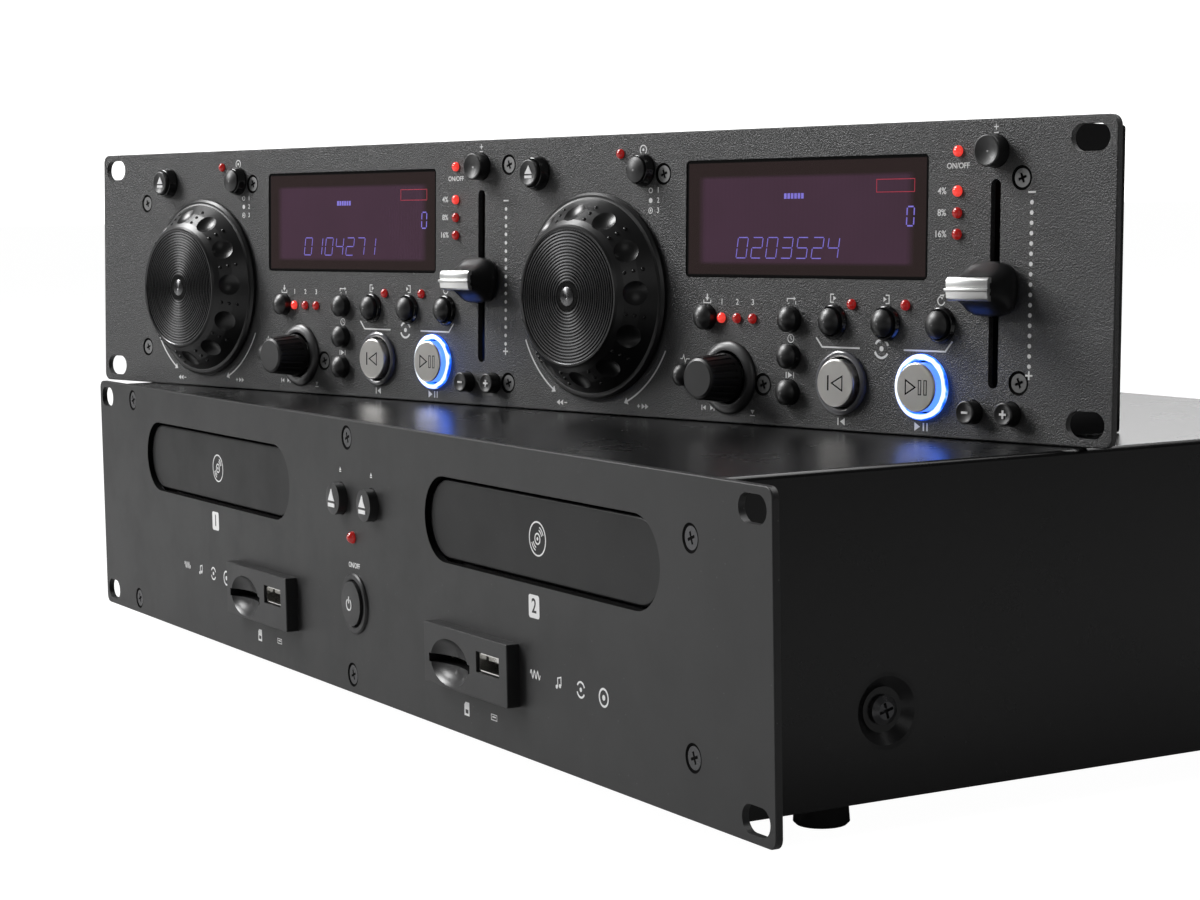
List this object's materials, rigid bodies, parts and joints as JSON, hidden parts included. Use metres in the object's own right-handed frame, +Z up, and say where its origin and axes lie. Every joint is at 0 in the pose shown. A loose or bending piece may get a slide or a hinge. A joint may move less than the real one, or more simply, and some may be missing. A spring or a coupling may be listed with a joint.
{
  "type": "dual cd player for dj",
  "caption": "Rack-mount disc drive unit with sliding trays, and a separate control unit with jog wheels, displays, buttons and pitch faders standing on its cover.",
  "frame": {"origin": "centre of the drive unit's faceplate, on its front face, which is the rack mounting pattern's centre", "axes": "+X to the right seen from the front, -Y out of the faceplate towards the user, +Z up"},
  "size_m": [0.4857, 0.2608, 0.1834],
  "materials": {
    "drive_panel_paint": "satin, smooth",
    "control_panel_paint": "fine textured powder coat",
    "case_paint": "semi-gloss",
    "chassis_zinc": "zinc plated sheet",
    "foot_rubber": "matt",
    "black_screw": "blackened",
    "fitting_plastic": "satin",
    "socket_metal": "nickel",
    "mechanism_plastic": "matt",
    "board": "solder mask",
    "connector_plastic": "matt",
    "tray_plastic": "satin",
    "button_plastic": "satin",
    "window_glass": "glossy smoked",
    "lamp_plastic": "diffused",
    "ring_plastic": "glossy",
    "wheel_plastic": "glossy with a dark metal disc",
    "turned_metal": "turned",
    "shaft_metal": "drawn",
    "slider_cap": "satin with a metal bar"
  },
  "bodies": {
    "drive_unit": {"drive_faceplate": "drive_panel_paint", "drive_chassis": "chassis_zinc", "drive_cover": "case_paint", "rubber_feet": "foot_rubber", "drive_screws": "black_screw", "faceplate_fittings": "fitting_plastic", "media_sockets": "socket_metal", "disc_mechanisms": "mechanism_plastic", "drive_boards": "board", "rear_connectors": "connector_plastic"},
    "control_unit": {"control_faceplate": "control_panel_paint", "control_housing": "case_paint", "display_windows": "window_glass", "control_boards": "board", "trim_rings": "ring_plastic", "control_lamps": "lamp_plastic", "control_screws": "black_screw"},
    "disc_tray_1": {"disc_tray_1": "tray_plastic"},
    "disc_tray_2": {"disc_tray_2": "tray_plastic"},
    "drive_eject_button_1": {"drive_eject_button_1": "button_plastic"},
    "drive_eject_button_2": {"drive_eject_button_2": "button_plastic"},
    "power_button": {"power_button": "button_plastic"},
    "jog_wheel_1": {"jog_wheel_1": "wheel_plastic"},
    "track_shaft_1": {"track_shaft_1": "shaft_metal"},
    "track_knob_1": {"track_knob_1": "turned_metal"},
    "pitch_slider_1": {"pitch_slider_1": "slider_cap"},
    "cue_button_1": {"cue_button_1": "turned_metal"},
    "play_button_1": {"play_button_1": "turned_metal"},
    "eject_button_1": {"eject_button_1": "button_plastic"},
    "jog_mode_button_1": {"jog_mode_button_1": "button_plastic"},
    "source_button_1": {"source_button_1": "button_plastic"},
    "tempo_button_1": {"tempo_button_1": "button_plastic"},
    "repeat_button_1": {"repeat_button_1": "button_plastic"},
    "time_button_1": {"time_button_1": "button_plastic"},
    "single_button_1": {"single_button_1": "button_plastic"},
    "loop_in_button_1": {"loop_in_button_1": "button_plastic"},
    "loop_out_button_1": {"loop_out_button_1": "button_plastic"},
    "reloop_button_1": {"reloop_button_1": "button_plastic"},
    "pitch_button_1": {"pitch_button_1": "button_plastic"},
    "pitch_minus_button_1": {"pitch_minus_button_1": "button_plastic"},
    "pitch_plus_button_1": {"pitch_plus_button_1": "button_plastic"},
    "jog_wheel_2": {"jog_wheel_2": "wheel_plastic"},
    "track_shaft_2": {"track_shaft_2": "shaft_metal"},
    "track_knob_2": {"track_knob_2": "turned_metal"},
    "pitch_slider_2": {"pitch_slider_2": "slider_cap"},
    "cue_button_2": {"cue_button_2": "turned_metal"},
    "play_button_2": {"play_button_2": "turned_metal"},
    "eject_button_2": {"eject_button_2": "button_plastic"},
    "jog_mode_button_2": {"jog_mode_button_2": "button_plastic"},
    "source_button_2": {"source_button_2": "button_plastic"},
    "tempo_button_2": {"tempo_button_2": "button_plastic"},
    "repeat_button_2": {"repeat_button_2": "button_plastic"},
    "time_button_2": {"time_button_2": "button_plastic"},
    "single_button_2": {"single_button_2": "button_plastic"},
    "loop_in_button_2": {"loop_in_button_2": "button_plastic"},
    "loop_out_button_2": {"loop_out_button_2": "button_plastic"},
    "reloop_button_2": {"reloop_button_2": "button_plastic"},
    "pitch_button_2": {"pitch_button_2": "button_plastic"},
    "pitch_minus_button_2": {"pitch_minus_button_2": "button_plastic"},
    "pitch_plus_button_2": {"pitch_plus_button_2": "button_plastic"}
  },
  "joints": [
    {"name": "control_unit_lift", "type": "slide", "parent": "drive_unit", "child": "control_unit", "axis": [0, 0, 1], "range_m": [0, 0.15]},
    {"name": "tray_slide_1", "type": "slide", "parent": "drive_unit", "child": "disc_tray_1", "axis": [0, -1, 0], "range_m": [0, 0.13]},
    {"name": "tray_slide_2", "type": "slide", "parent": "drive_unit", "child": "disc_tray_2", "axis": [0, -1, 0], "range_m": [0, 0.13]},
    {"name": "drive_eject_press_1", "type": "slide", "parent": "drive_unit", "child": "drive_eject_button_1", "axis": [0, 1, 0], "range_m": [0, 0.0006], "stiffness_N_per_m": 600, "springref_m": -0.001},
    {"name": "drive_eject_press_2", "type": "slide", "parent": "drive_unit", "child": "drive_eject_button_2", "axis": [0, 1, 0], "range_m": [0, 0.0006], "stiffness_N_per_m": 600, "springref_m": -0.001},
    {"name": "power_press", "type": "slide", "parent": "drive_unit", "child": "power_button", "axis": [0, 1, 0], "range_m": [0, 0.0015], "stiffness_N_per_m": 600, "springref_m": -0.001},
    {"name": "jog_turn_1", "type": "hinge", "parent": "control_unit", "child": "jog_wheel_1", "pos_m": [-0.17669, 0.02054, 0.08155], "axis": [0.2367, -0.971, 0.0329], "continuous": true},
    {"name": "track_press_1", "type": "slide", "parent": "control_unit", "child": "track_shaft_1", "axis": [-0.2367, 0.971, -0.0329], "range_m": [0, 0.0006], "stiffness_N_per_m": 600, "springref_m": -0.001},
    {"name": "track_turn_1", "type": "hinge", "parent": "track_shaft_1", "child": "track_knob_1", "pos_m": [-0.11899, 0.03381, 0.05806], "axis": [0.2367, -0.971, 0.0329], "continuous": true},
    {"name": "pitch_slide_1", "type": "slide", "parent": "control_unit", "child": "pitch_slider_1", "axis": [-0.0078, 0.032, 0.9995], "range_m": [-0.0217, 0.0243]},
    {"name": "cue_button_press_1", "type": "slide", "parent": "control_unit", "child": "cue_button_1", "axis": [-0.2367, 0.971, -0.0329], "range_m": [0, 0.0008], "stiffness_N_per_m": 600, "springref_m": -0.001},
    {"name": "play_button_press_1", "type": "slide", "parent": "control_unit", "child": "play_button_1", "axis": [-0.2367, 0.971, -0.0329], "range_m": [0, 0.0008], "stiffness_N_per_m": 600, "springref_m": -0.001},
    {"name": "eject_button_press_1", "type": "slide", "parent": "control_unit", "child": "eject_button_1", "axis": [-0.2367, 0.971, -0.0329], "range_m": [0, 0.0006], "stiffness_N_per_m": 600, "springref_m": -0.001},
    {"name": "jog_mode_button_press_1", "type": "slide", "parent": "control_unit", "child": "jog_mode_button_1", "axis": [-0.2367, 0.971, -0.0329], "range_m": [0, 0.0006], "stiffness_N_per_m": 600, "springref_m": -0.001},
    {"name": "source_button_press_1", "type": "slide", "parent": "control_unit", "child": "source_button_1", "axis": [-0.2367, 0.971, -0.0329], "range_m": [0, 0.0006], "stiffness_N_per_m": 600, "springref_m": -0.001},
    {"name": "tempo_button_press_1", "type": "slide", "parent": "control_unit", "child": "tempo_button_1", "axis": [-0.2367, 0.971, -0.0329], "range_m": [0, 0.0006], "stiffness_N_per_m": 600, "springref_m": -0.001},
    {"name": "repeat_button_press_1", "type": "slide", "parent": "control_unit", "child": "repeat_button_1", "axis": [-0.2367, 0.971, -0.0329], "range_m": [0, 0.0006], "stiffness_N_per_m": 600, "springref_m": -0.001},
    {"name": "time_button_press_1", "type": "slide", "parent": "control_unit", "child": "time_button_1", "axis": [-0.2367, 0.971, -0.0329], "range_m": [0, 0.0006], "stiffness_N_per_m": 600, "springref_m": -0.001},
    {"name": "single_button_press_1", "type": "slide", "parent": "control_unit", "child": "single_button_1", "axis": [-0.2367, 0.971, -0.0329], "range_m": [0, 0.0006], "stiffness_N_per_m": 600, "springref_m": -0.001},
    {"name": "loop_in_button_press_1", "type": "slide", "parent": "control_unit", "child": "loop_in_button_1", "axis": [-0.2367, 0.971, -0.0329], "range_m": [0, 0.0006], "stiffness_N_per_m": 600, "springref_m": -0.001},
    {"name": "loop_out_button_press_1", "type": "slide", "parent": "control_unit", "child": "loop_out_button_1", "axis": [-0.2367, 0.971, -0.0329], "range_m": [0, 0.0006], "stiffness_N_per_m": 600, "springref_m": -0.001},
    {"name": "reloop_button_press_1", "type": "slide", "parent": "control_unit", "child": "reloop_button_1", "axis": [-0.2367, 0.971, -0.0329], "range_m": [0, 0.0006], "stiffness_N_per_m": 600, "springref_m": -0.001},
    {"name": "pitch_button_press_1", "type": "slide", "parent": "control_unit", "child": "pitch_button_1", "axis": [-0.2367, 0.971, -0.0329], "range_m": [0, 0.0006], "stiffness_N_per_m": 600, "springref_m": -0.001},
    {"name": "pitch_minus_button_press_1", "type": "slide", "parent": "control_unit", "child": "pitch_minus_button_1", "axis": [-0.2367, 0.971, -0.0329], "range_m": [0, 0.0006], "stiffness_N_per_m": 600, "springref_m": -0.001},
    {"name": "pitch_plus_button_press_1", "type": "slide", "parent": "control_unit", "child": "pitch_plus_button_1", "axis": [-0.2367, 0.971, -0.0329], "range_m": [0, 0.0006], "stiffness_N_per_m": 600, "springref_m": -0.001},
    {"name": "jog_turn_2", "type": "hinge", "parent": "control_unit", "child": "jog_wheel_2", "pos_m": [0.03171, 0.07134, 0.08155], "axis": [0.2367, -0.971, 0.0329], "continuous": true},
    {"name": "track_press_2", "type": "slide", "parent": "control_unit", "child": "track_shaft_2", "axis": [-0.2367, 0.971, -0.0329], "range_m": [0, 0.0006], "stiffness_N_per_m": 600, "springref_m": -0.001},
    {"name": "track_turn_2", "type": "hinge", "parent": "track_shaft_2", "child": "track_knob_2", "pos_m": [0.08941, 0.08461, 0.05806], "axis": [0.2367, -0.971, 0.0329], "continuous": true},
    {"name": "pitch_slide_2", "type": "slide", "parent": "control_unit", "child": "pitch_slider_2", "axis": [-0.0078, 0.032, 0.9995], "range_m": [-0.0217, 0.0243]},
    {"name": "cue_button_press_2", "type": "slide", "parent": "control_unit", "child": "cue_button_2", "axis": [-0.2367, 0.971, -0.0329], "range_m": [0, 0.0008], "stiffness_N_per_m": 600, "springref_m": -0.001},
    {"name": "play_button_press_2", "type": "slide", "parent": "control_unit", "child": "play_button_2", "axis": [-0.2367, 0.971, -0.0329], "range_m": [0, 0.0008], "stiffness_N_per_m": 600, "springref_m": -0.001},
    {"name": "eject_button_press_2", "type": "slide", "parent": "control_unit", "child": "eject_button_2", "axis": [-0.2367, 0.971, -0.0329], "range_m": [0, 0.0006], "stiffness_N_per_m": 600, "springref_m": -0.001},
    {"name": "jog_mode_button_press_2", "type": "slide", "parent": "control_unit", "child": "jog_mode_button_2", "axis": [-0.2367, 0.971, -0.0329], "range_m": [0, 0.0006], "stiffness_N_per_m": 600, "springref_m": -0.001},
    {"name": "source_button_press_2", "type": "slide", "parent": "control_unit", "child": "source_button_2", "axis": [-0.2367, 0.971, -0.0329], "range_m": [0, 0.0006], "stiffness_N_per_m": 600, "springref_m": -0.001},
    {"name": "tempo_button_press_2", "type": "slide", "parent": "control_unit", "child": "tempo_button_2", "axis": [-0.2367, 0.971, -0.0329], "range_m": [0, 0.0006], "stiffness_N_per_m": 600, "springref_m": -0.001},
    {"name": "repeat_button_press_2", "type": "slide", "parent": "control_unit", "child": "repeat_button_2", "axis": [-0.2367, 0.971, -0.0329], "range_m": [0, 0.0006], "stiffness_N_per_m": 600, "springref_m": -0.001},
    {"name": "time_button_press_2", "type": "slide", "parent": "control_unit", "child": "time_button_2", "axis": [-0.2367, 0.971, -0.0329], "range_m": [0, 0.0006], "stiffness_N_per_m": 600, "springref_m": -0.001},
    {"name": "single_button_press_2", "type": "slide", "parent": "control_unit", "child": "single_button_2", "axis": [-0.2367, 0.971, -0.0329], "range_m": [0, 0.0006], "stiffness_N_per_m": 600, "springref_m": -0.001},
    {"name": "loop_in_button_press_2", "type": "slide", "parent": "control_unit", "child": "loop_in_button_2", "axis": [-0.2367, 0.971, -0.0329], "range_m": [0, 0.0006], "stiffness_N_per_m": 600, "springref_m": -0.001},
    {"name": "loop_out_button_press_2", "type": "slide", "parent": "control_unit", "child": "loop_out_button_2", "axis": [-0.2367, 0.971, -0.0329], "range_m": [0, 0.0006], "stiffness_N_per_m": 600, "springref_m": -0.001},
    {"name": "reloop_button_press_2", "type": "slide", "parent": "control_unit", "child": "reloop_button_2", "axis": [-0.2367, 0.971, -0.0329], "range_m": [0, 0.0006], "stiffness_N_per_m": 600, "springref_m": -0.001},
    {"name": "pitch_button_press_2", "type": "slide", "parent": "control_unit", "child": "pitch_button_2", "axis": [-0.2367, 0.971, -0.0329], "range_m": [0, 0.0006], "stiffness_N_per_m": 600, "springref_m": -0.001},
    {"name": "pitch_minus_button_press_2", "type": "slide", "parent": "control_unit", "child": "pitch_minus_button_2", "axis": [-0.2367, 0.971, -0.0329], "range_m": [0, 0.0006], "stiffness_N_per_m": 600, "springref_m": -0.001},
    {"name": "pitch_plus_button_press_2", "type": "slide", "parent": "control_unit", "child": "pitch_plus_button_2", "axis": [-0.2367, 0.971, -0.0329], "range_m": [0, 0.0006], "stiffness_N_per_m": 600, "springref_m": -0.001}
  ]
}
